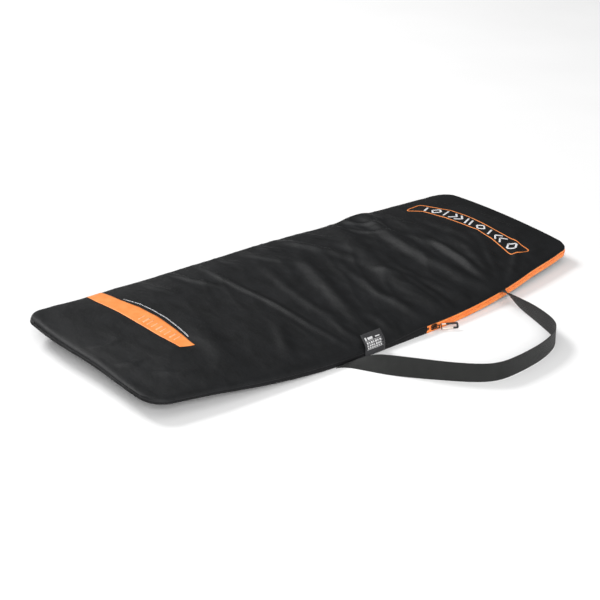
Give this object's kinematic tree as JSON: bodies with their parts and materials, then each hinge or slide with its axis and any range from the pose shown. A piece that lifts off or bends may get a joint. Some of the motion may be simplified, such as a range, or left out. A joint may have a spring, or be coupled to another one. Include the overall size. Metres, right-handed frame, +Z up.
{
  "type": "snowboard bag",
  "caption": "Flat padded board bag with a zip round one end, a folding top panel, a webbing carry handle, a zip pull and a woven tag.",
  "frame": {"origin": "on the floor under the middle of the bag, at the flat part of its bottom panel", "axes": "+X lengthwise towards the zip end, +Y across towards the long edge without the handle, +Z up"},
  "size_m": [1.4509, 0.988, 0.061],
  "materials": {
    "outer_fabric": "matt black woven polyester with soft wrinkles",
    "foam": "closed-cell foam padding",
    "lining": "thin grey lining cloth",
    "binding": "black seam binding",
    "zip_tape": "orange woven zip tape",
    "zip_coil": "orange nylon coil",
    "slider_metal": "dark brown coated metal",
    "pull_cord": "off-white braided cord",
    "pull_grip": "black moulded grip",
    "webbing": "black woven webbing with ribbed edges",
    "label": "dark grey woven tag with plain white marks"
  },
  "bodies": {
    "bag": {"bottom_shell": "outer_fabric", "side_wall": "outer_fabric", "top_shell_rear": "outer_fabric", "bottom_foam": "foam", "top_foam_rear": "foam", "bottom_lining": "lining", "top_lining_rear": "lining", "lower_piping": "binding", "upper_piping_rear": "binding", "zip_lower_tape": "zip_tape", "zip_upper_tape_rear": "zip_tape", "zip_lower_coil": "zip_coil", "zip_upper_coil_rear": "zip_coil", "zip_start_stop": "slider_metal", "zip_end_stop": "slider_metal", "handle_tack_left": "webbing", "handle_tack_right": "webbing"},
    "slider": {"zip_slider": "slider_metal"},
    "tab": {"pull_tab": "slider_metal"},
    "pull": {"cord_clamp": "pull_cord", "pull_cord": "pull_cord", "pull_grip": "pull_grip"},
    "handle": {"carry_handle": "webbing"},
    "label": {"size_label": "label"},
    "flap": {"top_shell_flap": "outer_fabric", "top_foam_flap": "foam", "top_lining_flap": "lining", "upper_piping_flap": "binding", "zip_upper_tape_flap": "zip_tape", "zip_upper_coil_flap": "zip_coil"}
  },
  "joints": [
    {"name": "flap_fold", "type": "hinge", "parent": "bag", "child": "flap", "pos_m": [0.48, 0, 0.0562], "axis": [0, -1, 0], "range_deg": [0, 120]},
    {"name": "slider_travel", "type": "hinge", "parent": "bag", "child": "slider", "pos_m": [0.1, 1.39612, 0.66393], "axis": [0, -0.3508, 0.9365], "range_deg": [0, 5.2]},
    {"name": "tab_swing", "type": "hinge", "parent": "slider", "child": "tab", "pos_m": [0.107, -0.3484, 0.0121], "axis": [0, 0, -1], "range_deg": [-12, 110]},
    {"name": "cord_swing", "type": "hinge", "parent": "tab", "child": "pull", "pos_m": [0.12082, -0.35606, 0.0121], "axis": [-0.4848, -0.8746, 0], "range_deg": [-5, 38]},
    {"name": "handle_swing", "type": "hinge", "parent": "bag", "child": "handle", "pos_m": [-0.181, -0.351, 0.004], "axis": [-0.9983, -0.0358, -0.0466], "range_deg": [0, 66]},
    {"name": "label_flip", "type": "hinge", "parent": "bag", "child": "label", "pos_m": [-0.1005, -0.3472, 0.003], "axis": [1, 0, 0], "range_deg": [0, 60]}
  ]
}
